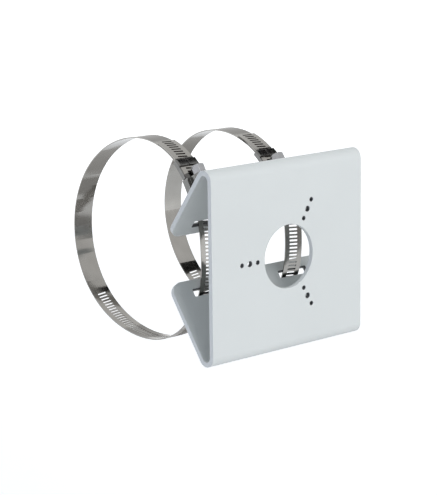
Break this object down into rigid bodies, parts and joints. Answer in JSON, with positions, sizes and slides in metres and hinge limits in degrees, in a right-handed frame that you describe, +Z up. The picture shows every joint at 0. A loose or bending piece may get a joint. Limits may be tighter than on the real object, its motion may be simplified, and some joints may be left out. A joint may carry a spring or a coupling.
{
  "type": "camera pole mount bracket",
  "caption": "Folded sheet bracket that carries a camera on its square front face and straps to a round pole with perforated worm-drive band clamps through slots in its leaning flanges.",
  "frame": {"origin": "centre of the cable hole on the front face", "axes": "+X to the right seen from the front, +Y from the front face back to the pole, +Z up; the pole runs along X"},
  "size_m": [0.124, 0.1651, 0.1307],
  "materials": {
    "powder_coat": "satin powder coat",
    "band_steel": "rolled stainless strip",
    "pressed_steel": "pressed stainless sheet",
    "screw_steel": "bright plated steel"
  },
  "bodies": {
    "bracket": {"mount_plate": "powder_coat"},
    "left_clamp": {"left_band": "band_steel", "left_saddle": "pressed_steel", "left_housing": "pressed_steel"},
    "left_worm": {"left_screw": "screw_steel"},
    "right_clamp": {"right_band": "band_steel", "right_saddle": "pressed_steel", "right_housing": "pressed_steel"},
    "right_worm": {"right_screw": "screw_steel"}
  },
  "joints": [
    {"name": "left_clamp_slide", "type": "slide", "parent": "bracket", "child": "left_clamp", "axis": [1, 0, 0], "range_m": [-0.0048, 0.0046]},
    {"name": "left_screw_turn", "type": "hinge", "parent": "left_clamp", "child": "left_worm", "pos_m": [-0.0353, 0.03866, 0.04527], "axis": [0, -0.524, -0.8517], "continuous": true},
    {"name": "right_clamp_slide", "type": "slide", "parent": "bracket", "child": "right_clamp", "axis": [1, 0, 0], "range_m": [-0.0032, 0.0062]},
    {"name": "right_screw_turn", "type": "hinge", "parent": "right_clamp", "child": "right_worm", "pos_m": [0.0339, 0.04148, 0.04395], "axis": [0, -0.6136, -0.7896], "continuous": true}
  ]
}
